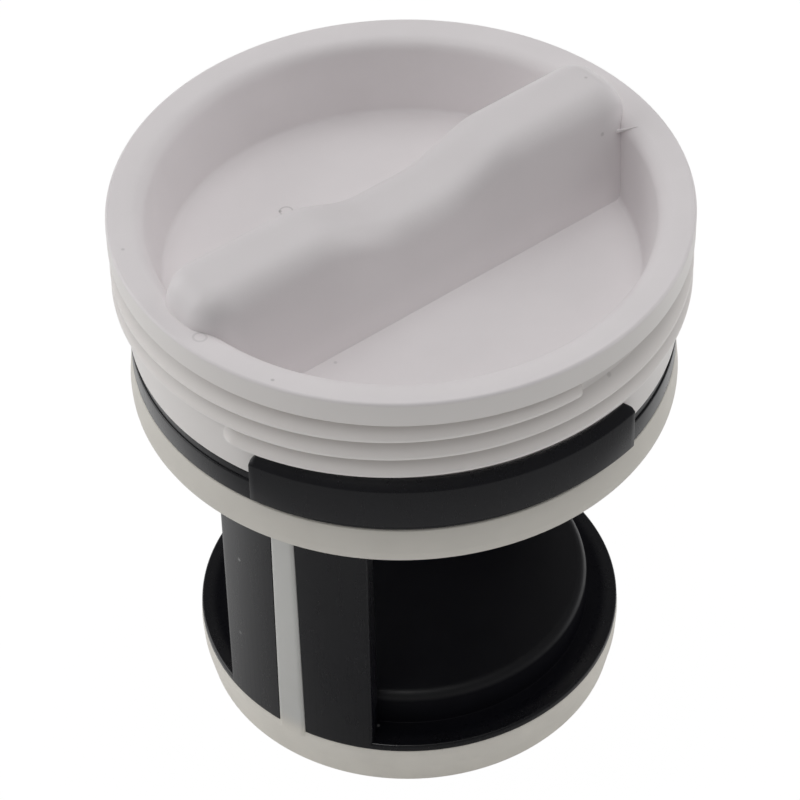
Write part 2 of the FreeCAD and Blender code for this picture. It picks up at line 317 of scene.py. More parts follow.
class StageSizes(bpy.types.PropertyGroup):
    """Camera, floor and lamps."""

    lens: amount("Lens", "Focal length in millimetres", 157.63)
    elevation: angle("Elevation", "Camera height above the horizon", 43.822)
    roll: angle("Roll", "Camera roll", -1.3446)
    distance: length("Distance", "Camera distance from its target", 412.25)
    target_side: length("Target side", "Target's place across", -0.588)
    target_height: length("Target height", "Target's height", 39.41)
    floor_size: length("Floor size", "Side of the floor", 4000.0)
    floor_tone: amount("Floor tone", "Brightness of the floor as it lights the part", 0.92)
    floor_glow: amount("Floor glow", "Share of even glow in the floor as it lights the part", 0.2)
    floor_light: amount("Floor light", "Strength of the floor's own white", 1.02)
    floor_shade: amount("Floor shade", "Brightness of the floor that takes the seen shadow", 0.8)
    floor_white: amount("Floor white", "Share of plain white in the floor as the camera sees it", 0.97)
    mirror_front: amount("Mirror front", "Brightness of the reflected floor in front of the part", 0.36)
    mirror_back: amount("Mirror back", "Brightness of the reflected floor towards the back", 0.85)
    mirror_start: length("Mirror start", "Where the reflected floor begins to brighten", -38.0)
    mirror_end: length("Mirror end", "Where the reflected floor is fully bright", 26.0)
    mirror_slant: amount("Mirror slant", "How much sooner it brightens at the left", 0.18)
    sky: amount("Sky", "Strength of the even light from all round", 0.22)
    sky_mirror: amount("Sky mirror", "Strength of the surroundings in reflections", 0.11)
    top_power: amount("Top lamp", "Power of the overhead soft lamp in watts", 1.85)
    back_power: amount("Back lamp", "Power of the soft lamp behind the part in watts", 2.85)
    left_power: amount("Left lamp", "Power of the left soft lamp in watts", 3.7)
    right_power: amount("Right lamp", "Power of the right soft lamp in watts", 2.75)
    glint_power: amount("Glint lamp", "Power of the lamp seen only as a glint on edges in watts", 1.4)
    front_power: amount("Front lamp", "Power of the soft lamp in front of the part in watts", 1.3)


def add_outline(bm, corners, closed):
    """Adds a wire in the XZ plane through (r, z, rounding) corners and rounds its corners."""
    verts = [bm.verts.new((r, 0.0, z)) for r, z, _ in corners]
    pairs = list(zip(verts, verts[1:]))
    if closed:
        pairs.append((verts[-1], verts[0]))
    for pair in pairs:
        bm.edges.new(pair)
    places = [vert.co.copy() for vert in verts]
    for index, (vert, corner) in enumerate(zip(verts, corners)):
        if not corner[2]:
            continue
        back = places[index - 1] - places[index]
        ahead = places[(index + 1) % len(places)] - places[index]
        offset = corner[2] / math.tan(back.angle(ahead) / 2)
        bmesh.ops.bevel(
            bm, geom=[vert], offset=offset, offset_type="OFFSET", affect="VERTICES",
            segments=ROUND_STEPS, profile=0.5, material=-1,
        )


def close_holes(bm):
    """Fills every open loop of edges."""
    bmesh.ops.holes_fill(bm, edges=[edge for edge in bm.edges if edge.is_boundary], sides=0)


def spin_outline(bm, steps=TURN_STEPS, start=0.0, sweep=math.tau):
    """Spins everything in the bmesh about the axis; a part turn gets flat ends."""
    full = abs(sweep - math.tau) < ANGLE_TOLERANCE
    bmesh.ops.rotate(bm, cent=CENTRE, matrix=Matrix.Rotation(start, 3, "Z"), verts=bm.verts)
    bmesh.ops.spin(
        bm, geom=bm.verts[:] + bm.edges[:], cent=CENTRE, axis=AXIS, angle=sweep, steps=steps,
        use_merge=full, use_normal_flip=False, use_duplicate=False,
    )
    bmesh.ops.remove_doubles(bm, verts=bm.verts, dist=WELD)
    if not full:
        close_holes(bm)
    bmesh.ops.recalc_face_normals(bm, faces=bm.faces)


def make_object(name, bm):
    """Turns a bmesh into an object at the origin."""
    mesh = bpy.data.meshes.new(name)
    bm.to_mesh(mesh)
    bm.free()
    piece = bpy.data.objects.new(name, mesh)
    bpy.context.scene.collection.objects.link(piece)
    return piece


def turned(name, corners, closed=True, **spin):
    """Object turned from an outline of (r, z, rounding) corners."""
    bm = bmesh.new()
    add_outline(bm, corners, closed)
    spin_outline(bm, **spin)
    return make_object(name, bm)


def combine(body, operand, operation):
    """Joins or cuts one object with another and drops the second."""
    modifier = body.modifiers.new(operation.lower(), "BOOLEAN")
    modifier.operation = operation
    modifier.object = operand
    modifier.solver = "EXACT"
    graph = bpy.context.evaluated_depsgraph_get()
    result = bpy.data.meshes.new_from_object(body.evaluated_get(graph))
    body.modifiers.clear()
    old = body.data
    body.data = result
    bpy.data.meshes.remove(old)
    operand_mesh = operand.data
    bpy.data.objects.remove(operand)
    bpy.data.meshes.remove(operand_mesh)


def finish_piece(piece, node, body, material):
    """Smooths a piece and puts it in the place of its solid."""
    bm = bmesh.new()
    bm.from_mesh(piece.data)
    bmesh.ops.remove_doubles(bm, verts=bm.verts, dist=WELD)
    bmesh.ops.dissolve_degenerate(bm, edges=bm.edges, dist=WELD)
    bm.to_mesh(piece.data)
    bm.free()
    for face in piece.data.polygons:
        face.use_smooth = True
    piece.data.set_sharp_from_angle(angle=SHARP_ANGLE)
    piece.data.materials.clear()
    piece.data.materials.append(material)
    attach(piece, body)
    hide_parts(node)


def cap_corners(cap):
    """Outline of the cap from the middle of the dish to the middle of its underside."""
    inner_top = cap.rim_top - cap.rim_fall
    mouth = cap.floor_radius + (inner_top - cap.floor_height) * math.tan(cap.draft)
    under_rim = cap.rim_top - cap.rim_height
    bore = cap.skirt_radius - cap.skirt_wall
    ceiling = cap.floor_height - cap.floor_wall
    return [
        (0.0, cap.floor_height, 0.0),
        (cap.floor_radius, cap.floor_height, cap.floor_round),
        (mouth, inner_top, cap.lip_round),
        (cap.rim_radius, cap.rim_top, cap.rim_round),
        (cap.rim_radius, under_rim, 1.5 * CAP_EDGE),
        (cap.skirt_radius, under_rim, CAP_EDGE),
        (cap.skirt_radius, cap.skirt_bottom, CAP_EDGE),
        (bore, cap.skirt_bottom, CAP_EDGE),
        (bore, cap.groove_low, 0.0),
        (cap.groove_radius, cap.groove_low, 0.0),
        (cap.groove_radius, cap.groove_high, 0.0),
        (bore, cap.groove_high, 0.0),
        (bore, ceiling, CAP_EDGE),
        (0.0, ceiling, 0.0),
    ]


def quarter_fall(distance, reach, drop):
    """How far a quarter ellipse has fallen at a distance past its start."""
    share = min(max(distance, 0.0) / reach, 1.0)
    return drop * (1.0 - math.sqrt(1.0 - share * share))


def wrapped(name, sections):
    """Object from a grid wrapped round closed sections and shut at both ends."""
    rows = len(sections) - 1
    around = len(sections[0])
    bm = bmesh.new()
    bmesh.ops.create_grid(bm, x_segments=rows, y_segments=around, size=1.0)
    for vert in bm.verts:
        row = round((vert.co.x + 1) / 2 * rows)
        column = round((vert.co.y + 1) / 2 * around) % around
        vert.co = sections[row][column]
    bmesh.ops.remove_doubles(bm, verts=bm.verts, dist=WELD)
    close_holes(bm)
    bmesh.ops.recalc_face_normals(bm, faces=bm.faces)
    return make_object(name, bm)


def grip_section(station, cap, grip):
    """Points once round the grip bar at a station along it."""
    dip_slope = grip.dip_reach - grip.dip_flat
    phase = min(max(abs(station) - grip.dip_flat, 0.0) / dip_slope, 1.0)
    dip_share = (1 + math.cos(math.pi * phase)) / 2
    end_fall = quarter_fall(abs(station) - grip.reach + grip.end_round, grip.end_round, grip.end_drop)
    corner = grip.corner_round
    side_fall = quarter_fall(abs(station) - grip.reach + corner, corner, corner)
    slope = math.tan(grip.draft + grip.waist_draft * dip_share)
    top = grip.top - grip.dip * dip_share - end_fall
    base = cap.floor_height - cap.floor_wall / 3
    foot = grip.base_width / 2 - (base - cap.floor_height) * slope - side_fall
    shoulder = grip.base_width / 2 - (top - cap.floor_height) * slope - side_fall
    lean = math.atan(slope)
    radius = grip.edge_round * shoulder / (shoulder + side_fall)
    centre_across = shoulder - radius * math.tan((math.pi / 2 - lean) / 2)
    centre_height = top - radius
    half = []
    arc = []
    for step in range(GRIP_ARC_STEPS + 1):
        turn = lean + (math.pi / 2 - lean) * step / GRIP_ARC_STEPS
        arc.append((centre_across + radius * math.cos(turn), centre_height + radius * math.sin(turn)))
    for step in range(GRIP_SIDE_STEPS):
        share = step / GRIP_SIDE_STEPS
        half.append((foot + (arc[0][0] - foot) * share, base + (arc[0][1] - base) * share))
    half += arc
    for step in range(1, GRIP_TOP_STEPS):
        half.append((centre_across * (1 - step / GRIP_TOP_STEPS), top))
    left = [(-across, height) for across, height in reversed(half)]
    around = half + [(0.0, top)] + left + [(0.0, base)]
    heading = Matrix.Rotation(grip.turn, 3, "Z")
    return [heading @ Vector((station, across, height)) for across, height in around]


def grip_bar(cap, grip):
    """Finger grip across the dish, with a dip in the middle and rounded ends."""
    straight = grip.reach - grip.corner_round
    stations = [straight * step / GRIP_STRAIGHT_STEPS for step in range(GRIP_STRAIGHT_STEPS + 1)]
    for step in range(1, GRIP_CORNER_STEPS + 1):
        turn = math.radians(90 * step / GRIP_CORNER_STEPS)
        stations.append(straight + grip.corner_round * math.sin(turn))
    stations = [-station for station in reversed(stations[1:])] + stations
    return wrapped("grip_bar", [grip_section(station, cap, grip) for station in stations])


def flash_fin():
    """Sliver of moulding flash left between the grip's end and the rim."""
    along = FIN_TIP - FIN_START
    heading = along.to_track_quat("Z", "Y").to_matrix().to_4x4()
    bm = bmesh.new()
    bmesh.ops.create_cone(
        bm, cap_ends=True, cap_tris=False, segments=FIN_SIDES,
        radius1=FIN_START_RADIUS, radius2=FIN_TIP_RADIUS, depth=along.length,
        matrix=Matrix.Translation((FIN_START + FIN_TIP) / 2) @ heading,
    )
    return make_object("flash_fin", bm)


def thread_section(cap, thread, turn, low, growth, slant):
    """Points once round a ridge: short undercut, narrow crest and a long upper flank."""
    root = cap.skirt_radius - thread.root
    crest = root + (thread.depth + thread.root) * growth
    soft = CREST_EDGE
    outline = [
        (root, low - thread.undercut),
        (crest - soft, low - 0.1 * soft),
        (crest - 0.3 * soft, low + 0.2 * soft),
        (crest, low + soft),
        (crest, low + thread.land - soft),
        (crest - 0.3 * soft, low + thread.land),
        (crest - soft, low + thread.land + 0.8 * soft),
        (root + 0.45 * (crest - root), low + thread.land + 0.5 * (thread.width - thread.land)),
        (root, low + thread.width),
    ]
    points = []
    for radius, height in outline:
        heading = turn + (height - low - thread.width / 2) * slant / crest
        points.append(Vector((radius * math.cos(heading), radius * math.sin(heading), height)))
    return points


def ridge_start_height(thread):
    """Height of a ridge's lower edge where it starts."""
    return thread.end_height - thread.lead * thread.sweep / math.tau


def thread_ridge(cap, thread, end_turn):
    """One thread ridge that climbs the skirt, with a rounded start and a slanted blunt end."""
    start = end_turn - thread.sweep
    lowest = ridge_start_height(thread)
    full = thread.sweep - thread.run_out
    turns = [thread.run_out * step / RUN_OUT_STEPS for step in range(RUN_OUT_STEPS)]
    turns += [thread.run_out + full * step / RIDGE_STEPS for step in range(RIDGE_STEPS + 1)]
    sections = []
    for turn in turns:
        share = min(turn / thread.run_out, 1.0)
        growth = RIDGE_START + (1.0 - RIDGE_START) * math.sqrt(1.0 - (1.0 - share) ** 2)
        slant = math.tan(thread.end_slant) if turn == turns[-1] else 0.0
        low = lowest + thread.lead * turn / math.tau
        sections.append(thread_section(cap, thread, start + turn, low, growth, slant))
    return wrapped("thread_ridge", sections)


def insert_head_corners(insert):
    """Outline of the flange, the collar and the neck."""
    small = INSERT_EDGE
    bead = (insert.collar_top + insert.neck_top) / 2
    return [
        (0.0, insert.flange_height, 0.0),
        (insert.core_radius, insert.flange_height, small),
        (insert.core_radius, insert.collar_low, 0.0),
        (insert.collar_radius, insert.collar_low, small),
        (insert.collar_radius, insert.collar_step, 1.5 * small),
        (insert.collar_inner, insert.collar_step, 0.0),
        (insert.collar_inner, insert.collar_top, small),
        (insert.neck_radius, insert.collar_top, 0.0),
        (insert.neck_radius, bead - insert.bead_width / 2, 0.0),
        (insert.neck_radius + insert.bead_height, bead, small),
        (insert.neck_radius, bead + insert.bead_width / 2, 0.0),
        (insert.neck_radius, insert.neck_top, 2 * small),
        (0.0, insert.neck_top, 0.0),
    ]


def disc_corners(insert):
    """Outline of the lower disc with its raised boss and hollow underside."""
    small = INSERT_EDGE
    hollow = insert.boss_radius - insert.boss_wall
    roof = insert.boss_top - insert.boss_wall
    return [
        (0.0, roof, 0.0),
        (hollow, roof, 2 * small),
        (hollow, insert.foot_low, small),
        (insert.foot_radius, insert.foot_low, small),
        (insert.foot_radius, insert.disc_low, 0.0),
        (insert.disc_radius, insert.disc_low, 0.5 * small),
        (insert.disc_radius, insert.disc_top, 2 * small),
        (insert.boss_radius, insert.disc_top, small),
        (insert.boss_radius, insert.boss_top, insert.boss_round),
        (0.0, insert.boss_top, 0.0),
    ]


def bevel_sharp(bm, offset, segments, wanted):
    """Rounds the sharp edges that a test picks."""
    whole = [edge for edge in bm.edges if edge.is_manifold]
    sharp = [edge for edge in whole if edge.calc_face_angle() > ROUNDED_ANGLE]
    picked = [edge for edge in sharp if wanted(edge)]
    bmesh.ops.bevel(
        bm, geom=picked, offset=offset, offset_type="OFFSET", affect="EDGES",
        segments=segments, profile=0.5, material=-1,
    )


def key_lug(insert):
    """Key lug: a part turn with a chamfered top and cut corners."""
    cut = insert.lug_outer - insert.lug_inner - insert.lug_land
    root = insert.neck_radius + LUG_ROOT
    root_top = insert.collar_top - LUG_SINK
    bm = bmesh.new()
    add_outline(bm, [
        (root, insert.lug_low, 0.0),
        (insert.lug_outer, insert.lug_low, 0.0),
        (insert.lug_outer, insert.lug_top - cut, 0.0),
        (insert.lug_inner + insert.lug_land, insert.lug_top, 0.0),
        (insert.lug_inner, insert.lug_top, 0.0),
        (insert.lug_inner, root_top, 0.0),
        (root, root_top, 0.0),
    ], True)
    first = insert.lug_turn - insert.lug_sweep / 2
    spin_outline(bm, steps=LUG_STEPS, start=first, sweep=insert.lug_sweep)
    bevel_turn = insert.lug_bevel / insert.lug_outer
    for side in (-1, 1):
        turn = insert.lug_turn + side * (insert.lug_sweep / 2 - bevel_turn)
        tangent = Vector((-math.sin(turn), math.cos(turn), 0.0)) * side
        point = Vector((math.cos(turn), math.sin(turn), 0.0)) * insert.lug_outer + AXIS * insert.lug_top
        near = [
            face for face in bm.faces
            if (face.calc_center_median() - point).length < LUG_CUT_REACH
        ]
        near_edges = list(dict.fromkeys(edge for face in near for edge in face.edges))
        near_verts = list(dict.fromkeys(vert for face in near for vert in face.verts))
        bmesh.ops.bisect_plane(
            bm, geom=near_verts + near_edges + near, dist=WELD, plane_co=point,
            plane_no=(tangent + AXIS).normalized(), clear_outer=True,
        )
        close_holes(bm)
    bmesh.ops.remove_doubles(bm, verts=bm.verts, dist=WELD)
    bmesh.ops.recalc_face_normals(bm, faces=bm.faces)
    bevel_sharp(bm, LUG_EDGE, LUG_ROUND_STEPS, lambda edge: True)
    return make_object("key_lug", bm)


def upright_wall(insert, turn, sweep):
    """Curved wall from the disc to the flange, with its upright edges rounded."""
    low = (insert.disc_low + insert.disc_top) / 2
    high = insert.flange_height + insert.upright_root
    bm = bmesh.new()
    add_outline(bm, [
        (insert.boss_radius, low, 0.0),
        (insert.disc_radius, low, 0.0),
        (insert.disc_radius, high, 0.0),
        (insert.boss_radius, high, 0.0),
    ], True)
    spin_outline(bm, steps=WALL_STEPS, start=turn - sweep / 2, sweep=sweep)

    def upright(edge):
        return abs(edge.calc_length() - (high - low)) < UPRIGHT_TOLERANCE

    bevel_sharp(bm, insert.edge_round, UPRIGHT_ROUND_STEPS, upright)
    return make_object("upright_wall", bm)


def strip_block(name, insert, seal, gap, stations, outer, rounding):
    """Straight block in the strip's direction through (height, width) stations."""
    inner = insert.disc_radius - seal.strip_depth - gap
    low, high = stations
    bm = bmesh.new()
    bmesh.ops.create_cube(bm, size=2.0)
    for vert in bm.verts:
        height, width = high if vert.co.z > 0 else low
        vert.co = (outer if vert.co.x > 0 else inner, vert.co.y * (width / 2 + gap), height)

    def upright_outside(edge):
        first, second = edge.verts
        outside = min(first.co.x, second.co.x) > outer - WELD
        return outside and abs(first.co.z - second.co.z) > rounding

    if rounding:
        bevel_sharp(bm, rounding, ROUND_STEPS, upright_outside)
    bmesh.ops.rotate(bm, cent=CENTRE, matrix=Matrix.Rotation(seal.strip_turn, 3, "Z"), verts=bm.verts)
    return make_object(name, bm)


def strip_pieces(insert, seal, gap, rounding):
    """Strip down the pillar, and its runner under the flange to the upper ring."""
    top = insert.flange_height + RUNNER_HEIGHT + gap
    foot = seal.lower_high - STRIP_SINK
    runner_low = insert.flange_height + RUNNER_INSET
    runner_top = top - RUNNER_INSET
    strip = strip_block(
        "strip", insert, seal, gap, [(foot, seal.strip_foot), (top, seal.strip_width)],
        insert.disc_radius + seal.strip_proud, rounding,
    )
    runner = strip_block(
        "runner", insert, seal, gap, [(runner_low, seal.strip_width), (runner_top, seal.strip_width)],
        seal.upper_inner + RUNNER_REACH, 0.0,
    )
    return strip, runner


def upper_ring_corners(seal):
    """Outline of the upper ring, with a slight belly."""
    return [
        (seal.upper_inner, seal.upper_low, SEAL_EDGE),
        (seal.upper_outer, seal.upper_low, UPPER_FOOT_ROUND),
        (seal.upper_outer + UPPER_BELLY, seal.upper_low + UPPER_BELLY_HEIGHT, UPPER_BELLY_ROUND),
        (seal.upper_outer - UPPER_TAPER, seal.upper_high, UPPER_TAPER),
        (seal.upper_inner, seal.upper_high, SEAL_EDGE),
    ]


def lower_ring_corners(seal):
    """Outline of the lower ring, which narrows towards its foot."""
    return [
        (seal.lower_inner, 0.0, SEAL_EDGE),
        (seal.lower_foot, 0.0, LOWER_FOOT_ROUND),
        (seal.lower_outer - LOWER_TAPER, LOWER_BELLY_HEIGHT, LOWER_BELLY_ROUND),
        (seal.lower_outer, seal.lower_high - LOWER_SHOULDER, LOWER_SHOULDER_ROUND),
        (seal.lower_outer - LOWER_TAPER, seal.lower_high, SEAL_EDGE),
        (seal.lower_inner, seal.lower_high, SEAL_EDGE),
    ]


class Socket:
    """A shader value that adds its Math nodes as Python operators are used on it."""

    def __init__(self, graph, socket):
        self.graph = graph
        self.socket = socket

    def _math(self, operation, first, second):
        return self.graph.node("ShaderNodeMath", {"operation": operation}, {0: first, 1: second})

    def __add__(self, other):
        return self._math("ADD", self, other)

    def __radd__(self, other):
        return self._math("ADD", other, self)

    def __sub__(self, other):
        return self._math("SUBTRACT", self, other)

    def __rsub__(self, other):
        return self._math("SUBTRACT", other, self)

    def __mul__(self, other):
        return self._math("MULTIPLY", self, other)

    def __rmul__(self, other):
        return self._math("MULTIPLY", other, self)

    def __pow__(self, other):
        return self._math("POWER", self, other)

    def __rpow__(self, other):
        return self._math("POWER", other, self)

    def __gt__(self, other):
        return self._math("GREATER_THAN", self, other)

    def __lt__(self, other):
        return self._math("LESS_THAN", self, other)

    def ramp(self, low, high):
        """Smooth step from 0 at low to 1 at high."""
        settings = {"interpolation_type": "SMOOTHSTEP"}
        values = {"Value": self, "From Min": low, "From Max": high, "To Min": 0.0, "To Max": 1.0}
        return self.graph.node("ShaderNodeMapRange", settings, values)

    def past(self, edge, low, high):
        """Smooth step near an edge, from one distance past it to another, in millimetres."""
        return self.ramp(edge + low * MM, edge + high * MM)


class Graph:
    """Node graph of one material or world."""

    def __init__(self, owner):
        self.owner = owner
        owner.use_nodes = True
        self.tree = owner.node_tree
        self.tree.nodes.clear()

    def node(self, kind, settings=None, values=None, output=0):
        """Adds a node: its settings first, then the values or links of its sockets."""
        made = self.tree.nodes.new(kind)
        for name, value in (settings or {}).items():
            setattr(made, name, value)
        for key, value in (values or {}).items():
            if isinstance(value, Socket):
                self.tree.links.new(value.socket, made.inputs[key])
            else:
                made.inputs[key].default_value = value
        return Socket(self, made.outputs[output]) if made.outputs else None

    def place(self, scale=(1.0, 1.0, 1.0)):
        """Object coordinates, scaled."""
        where = self.node("ShaderNodeTexCoord", output="Object")
        return self.node("ShaderNodeMapping", {}, {"Vector": where, "Scale": scale})

    def split(self, where):
        """The three parts of a place."""
        return [self.node("ShaderNodeSeparateXYZ", {}, {"Vector": where}, axis) for axis in "XYZ"]

    def round_place(self, where):
        """Distance of a place from the axis, and its height."""
        x, y, z = self.split(where)
        return (x * x + y * y) ** 0.5, z

    def noise(self, scale, detail=2.0, stretch=(1.0, 1.0, 1.0)):
        """Noise value about 0.5 with its grain set by a scale per metre."""
        values = {"Vector": self.place(stretch), "Scale": scale, "Detail": detail}
        return self.node("ShaderNodeTexNoise", {"noise_dimensions": "3D"}, values)

    def mix(self, factor, first, second):
        """Colour between two colours."""
        settings = {"data_type": "RGBA", "blend_type": "MIX"}
        values = {MIX_FACTOR: factor, MIX_FIRST: first, MIX_SECOND: second}
        return self.node("ShaderNodeMix", settings, values, output=MIX_RESULT)

    def blend(self, factor, first, second):
        """Shader between two shaders."""
        return self.node("ShaderNodeMixShader", {}, {0: factor, 1: first, 2: second})

    def specks(self, scale, size, share):
        """Sparse round specks: a few cells of a random pattern, each with a small dot."""
        values = {"Vector": self.place(), "Scale": scale, "Randomness": 1.0}
        settings = {"voronoi_dimensions": "3D", "feature": "F1"}
        distance = self.node("ShaderNodeTexVoronoi", settings, values, output="Distance")
        cell = self.node("ShaderNodeTexVoronoi", settings, values, output="Color")
        pick = self.node("ShaderNodeSeparateColor", {}, {"Color": cell}) < share
        return pick * (1.0 - distance.ramp(size * 0.6, size))

    def marks(self, where, table):
        """Single specks and thin rings at set places, added up."""
        total = 0.0
        for x, y, z, radius, width, strength in table:
            values = {0: where, 1: (x * MM, y * MM, z * MM)}
            distance = self.node("ShaderNodeVectorMath", {"operation": "DISTANCE"}, values, "Value")
            away = self.node("ShaderNodeMath", {"operation": "ABSOLUTE"}, {0: distance - radius * MM})
            total = strength * (1.0 - away.ramp(0.2 * width * MM, 0.6 * width * MM)) + total
        return total

    def surface(self, values, bump, painted_shade=None):
        """Finishes the material: a bumped Principled shader, blended where asked with a matte one without
        gloss, which paints shade.
        """
        normal = self.node("ShaderNodeBump", {}, bump)
        shader = self.node("ShaderNodeBsdfPrincipled", {}, {**values, "Normal": normal})
        # Painted shade: where asked, the gloss is blended away, so the surface reads dark as if in shade
        if painted_shade is not None:
            matt = {"Base Color": values["Base Color"], "Roughness": 1.0, "Specular IOR Level": 0.0}
            plain = self.node("ShaderNodeBsdfPrincipled", {}, matt)
            shader = self.blend(painted_shade, shader, plain)
        self.node("ShaderNodeOutputMaterial", {}, {"Surface": shader})
        return self.owner


def rgba(value, factor=1.0):
    """Four-part colour from three parts, brightened or darkened by a factor."""
    return (value[0] * factor, value[1] * factor, value[2] * factor, 1.0)


def cap_plastic(finish, cap, thread):
    """Pale satin plastic: faint mottling, fine moulded grain, a darker grip, painted shade in the
    thread's grooves and painted highlight on its crests, and a few dark specks.
    """
    graph = Graph(bpy.data.materials.new("cap_plastic"))
    mottle = graph.noise(140.0, detail=3.0)
    grain = graph.noise(5200.0)
    flow = graph.noise(420.0)
    specks = graph.specks(scale=150.0, size=0.035, share=0.03)
    where = graph.place()
    radius, z = graph.round_place(where)
    # The grip and the dish walls above the floor are made darker
    inside = 1.0 - radius.past(cap.floor_radius, -1.3, 1.2)
    sides = inside * z.past(cap.floor_height, 0.2, 4.5)
    top = z.past(cap.rim_top, 0.0, 2.1)
    darker_grip_zone = sides + top - sides * top
    under_rim = cap.rim_top - cap.rim_height
    # Painted shade and highlight: in the thread's band the grooves are painted darker and the crests
    # lighter, for the shade between the ridges and the light on their crests
    thread_shade_band = z.past(ridge_start_height(thread), -0.12, 1.28) * (1.0 - z.past(under_rim, -0.65, -0.25))
    crest = radius.past(cap.skirt_radius, 0.1, 1.4)
    # Painted shade in the grooves, painted highlight on the crests
    groove = graph.mix(crest, rgba(finish.skirt, 0.88), rgba(finish.skirt, 1.07))
    outside = graph.mix(thread_shade_band, rgba(finish.skirt), groove)
    new = graph.mix(mottle, rgba(finish.cap, 0.965), rgba(finish.cap, 1.03))
    skirt = radius.past(cap.skirt_radius, -1.0, -0.3) * (1.0 - z.past(cap.rim_top, -0.5, -0.1))
    body = graph.mix(skirt, new, outside)
    tone = graph.mix(darker_grip_zone * 0.35, body, rgba(finish.cap, 0.8))
    marks = specks * 0.6 + graph.marks(where, CAP_MARKS)
    tinted = graph.mix(marks, tone, rgba(finish.wear))
    roughness = 0.4 + 0.12 * (flow - 0.5)
    bump = {"Strength": 0.12, "Distance": 0.06 * MM, "Height": grain * 0.7 + flow * 0.3}
    return graph.surface({"Base Color": tinted, "Roughness": roughness, "IOR": 1.46}, bump)


def insert_plastic(finish, insert):
    """Black moulded plastic: semi-gloss, with fine rubbing marks, a little dust, a rougher boss, and
    painted shade on the boss's wall where most of its gloss is blended away.
    """
    graph = Graph(bpy.data.materials.new("insert_plastic"))
    cloud = graph.noise(260.0, detail=3.0)
    grain = graph.noise(3800.0)
    rub = graph.noise(900.0, stretch=(1.0, 1.0, 0.12))
    specks = graph.specks(scale=260.0, size=0.05, share=0.035)
    tone = graph.mix(cloud, rgba(finish.insert, 0.8), rgba(finish.insert, 1.3))
    where = graph.place()
    dust = specks * 0.5 + graph.marks(where, INSERT_MARKS)
    tinted = graph.mix(dust, tone, rgba(finish.dust))
    radius, z = graph.round_place(where)
    inside = 1.0 - radius.past(insert.boss_radius, 0.3, 1.5)
    matte = inside * (1.0 - z.past(insert.boss_top, 0.55, 2.55))
    # Painted shade: round the boss's wall most of the gloss is blended away, so the wall and the disc
    # beside it read dark as if in shade
    shade_reach = 1.0 - radius.past(insert.boss_radius, 1.7, 2.9)
    painted_shade = shade_reach * (1.0 - z.past(insert.boss_top, -1.45, -0.55))
    roughness = 0.28 + 0.16 * matte + 0.08 * (rub - 0.5) + 0.05 * (cloud - 0.5)
    bump = {"Strength": 0.03, "Distance": 0.05 * MM, "Height": grain * 0.7 + rub * 0.3}
    return graph.surface({"Base Color": tinted, "Roughness": roughness, "IOR": 1.56}, bump, painted_shade * 0.8)


def seal_plastic(finish, seal):
    """Cream soft plastic: matte, slightly cloudy, with faint flow lines, and a lower ring painted lighter
    for the light that the floor bounces onto it.
    """
    graph = Graph(bpy.data.materials.new("seal_plastic"))
    cloud = graph.noise(170.0, detail=3.0)
    grain = graph.noise(4200.0)
    flow = graph.noise(600.0, stretch=(0.35, 0.35, 1.0))
    z = graph.split(graph.place())[2]
    # Painted light: the lower ring is painted lighter than the upper ring, standing in for light bounced
    # up from the floor
    foot = 1.0 - z.past(seal.lower_high, -1.05, 1.95)
    middle = z.past(seal.lower_high, -0.05, 2.95) * (1.0 - z.past(seal.upper_low, -1.45, 0.55))
    ring = graph.mix(foot, rgba(finish.seal, 1.03), rgba(finish.seal, 1.24))
    plain = graph.mix(middle, ring, rgba(finish.strip))
    tone = graph.mix(0.5 * (cloud - 0.35), plain, rgba(finish.seal, 0.75))
    roughness = 0.5 + 0.12 * (flow - 0.5)
    bump = {"Strength": 0.12, "Distance": 0.06 * MM, "Height": grain * 0.5 + flow * 0.5}
    return graph.surface({"Base Color": tone, "Roughness": roughness, "IOR": 1.45}, bump)


class FILTER_OT_screw_cap(bpy.types.Operator):
    """Builds the screw cap with its thread, grip bar and sliver of flash"""

    bl_idname = "filter.screw_cap"
    bl_label = "Screw cap"

    def execute(self, context):
        cap = context.scene.filter_cap
        grip = context.scene.filter_grip
        thread = context.scene.filter_thread
        piece = turned("cap", cap_corners(cap), closed=False)
        for start in range(thread.starts):
            end_turn = thread.end_turn + math.tau * start / thread.starts
            combine(piece, thread_ridge(cap, thread, end_turn), "UNION")
        combine(piece, grip_bar(cap, grip), "UNION")
        combine(piece, flash_fin(), "UNION")
        material = cap_plastic(context.scene.filter_finishes, cap, thread)
        finish_piece(piece, "screw_cap", "cap", material)
        return {"FINISHED"}


class FILTER_OT_filter_insert(bpy.types.Operator):
    """Builds the filter insert: neck, collar, key lug, walls and disc"""

    bl_idname = "filter.filter_insert"
    bl_label = "Filter insert"

    def execute(self, context):
        insert = context.scene.filter_insert
        seal = context.scene.filter_seal
        piece = turned("insert", insert_head_corners(insert), closed=False)
        combine(piece, upright_wall(insert, insert.pillar_turn, insert.pillar_sweep), "UNION")
        combine(piece, upright_wall(insert, insert.back_turn, insert.back_sweep), "UNION")
        combine(piece, turned("disc", disc_corners(insert), closed=False), "UNION")
        combine(piece, key_lug(insert), "UNION")
        for channel in strip_pieces(insert, seal, CHANNEL_GAP, 0.0):
            combine(piece, channel, "DIFFERENCE")
        material = insert_plastic(context.scene.filter_finishes, insert)
        finish_piece(piece, "filter_insert", "insert", material)
        return {"FINISHED"}


class FILTER_OT_seal(bpy.types.Operator):
    """Builds the seal: two rings and the strip between them"""

    bl_idname = "filter.seal"
    bl_label = "Seal"

    def execute(self, context):
        insert = context.scene.filter_insert
        seal = context.scene.filter_seal
        piece = turned("soft_seal", upper_ring_corners(seal))
        combine(piece, turned("lower_ring", lower_ring_corners(seal)), "UNION")
        for part in strip_pieces(insert, seal, 0.0, seal.strip_round):
            combine(piece, part, "UNION")
        material = seal_plastic(context.scene.filter_finishes, seal)
        finish_piece(piece, "seal", "insert", material)
        return {"FINISHED"}


